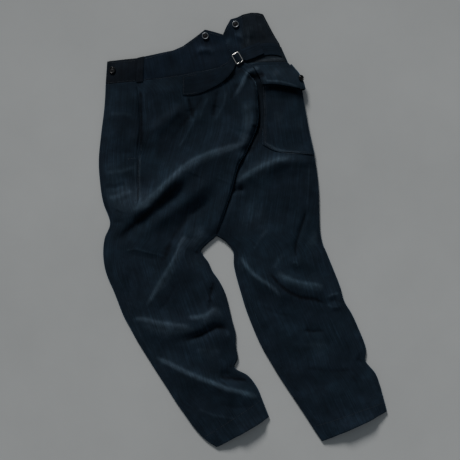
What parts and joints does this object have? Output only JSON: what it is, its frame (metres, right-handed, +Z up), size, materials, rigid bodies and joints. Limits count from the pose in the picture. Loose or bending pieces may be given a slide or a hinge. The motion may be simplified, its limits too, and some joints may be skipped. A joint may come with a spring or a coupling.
{
  "type": "corduroy trousers laid flat",
  "caption": "High-waisted corduroy trousers with a fishtail back, cinch strap and buckle, back pocket with flap and tapered legs, laid flat with the back up",
  "frame": {"origin": "on the floor under the middle of the garment's bounding box", "axes": "+Y from the hems to the waist, +X to the right seen from above with the back up, +Z up from the floor"},
  "size_m": [0.719, 1.0834, 0.0328],
  "materials": {
    "corduroy": "dark navy cotton corduroy with fine wales and a soft blue-grey nap",
    "buckle_metal": "nickel-plated wire, slightly worn",
    "button_metal": "pressed metal with a bright rim and a dark hollow"
  },
  "bodies": {
    "root": {"front_left_panel": "corduroy", "front_right_panel": "corduroy", "back_left_panel": "corduroy", "back_right_panel": "corduroy", "waistband_front_left": "corduroy", "waistband_front_right": "corduroy", "waistband_back_left": "corduroy", "waistband_back_right": "corduroy", "back_pocket": "corduroy", "back_pocket_flap": "corduroy", "side_tab_left": "corduroy", "cinch_strap_left": "corduroy", "cinch_strap_right": "corduroy", "buckle": "buckle_metal", "brace_button_back_left": "button_metal", "brace_button_back_right": "button_metal", "brace_button_front_left": "button_metal", "flap_button": "button_metal"}
  },
  "joints": []
}
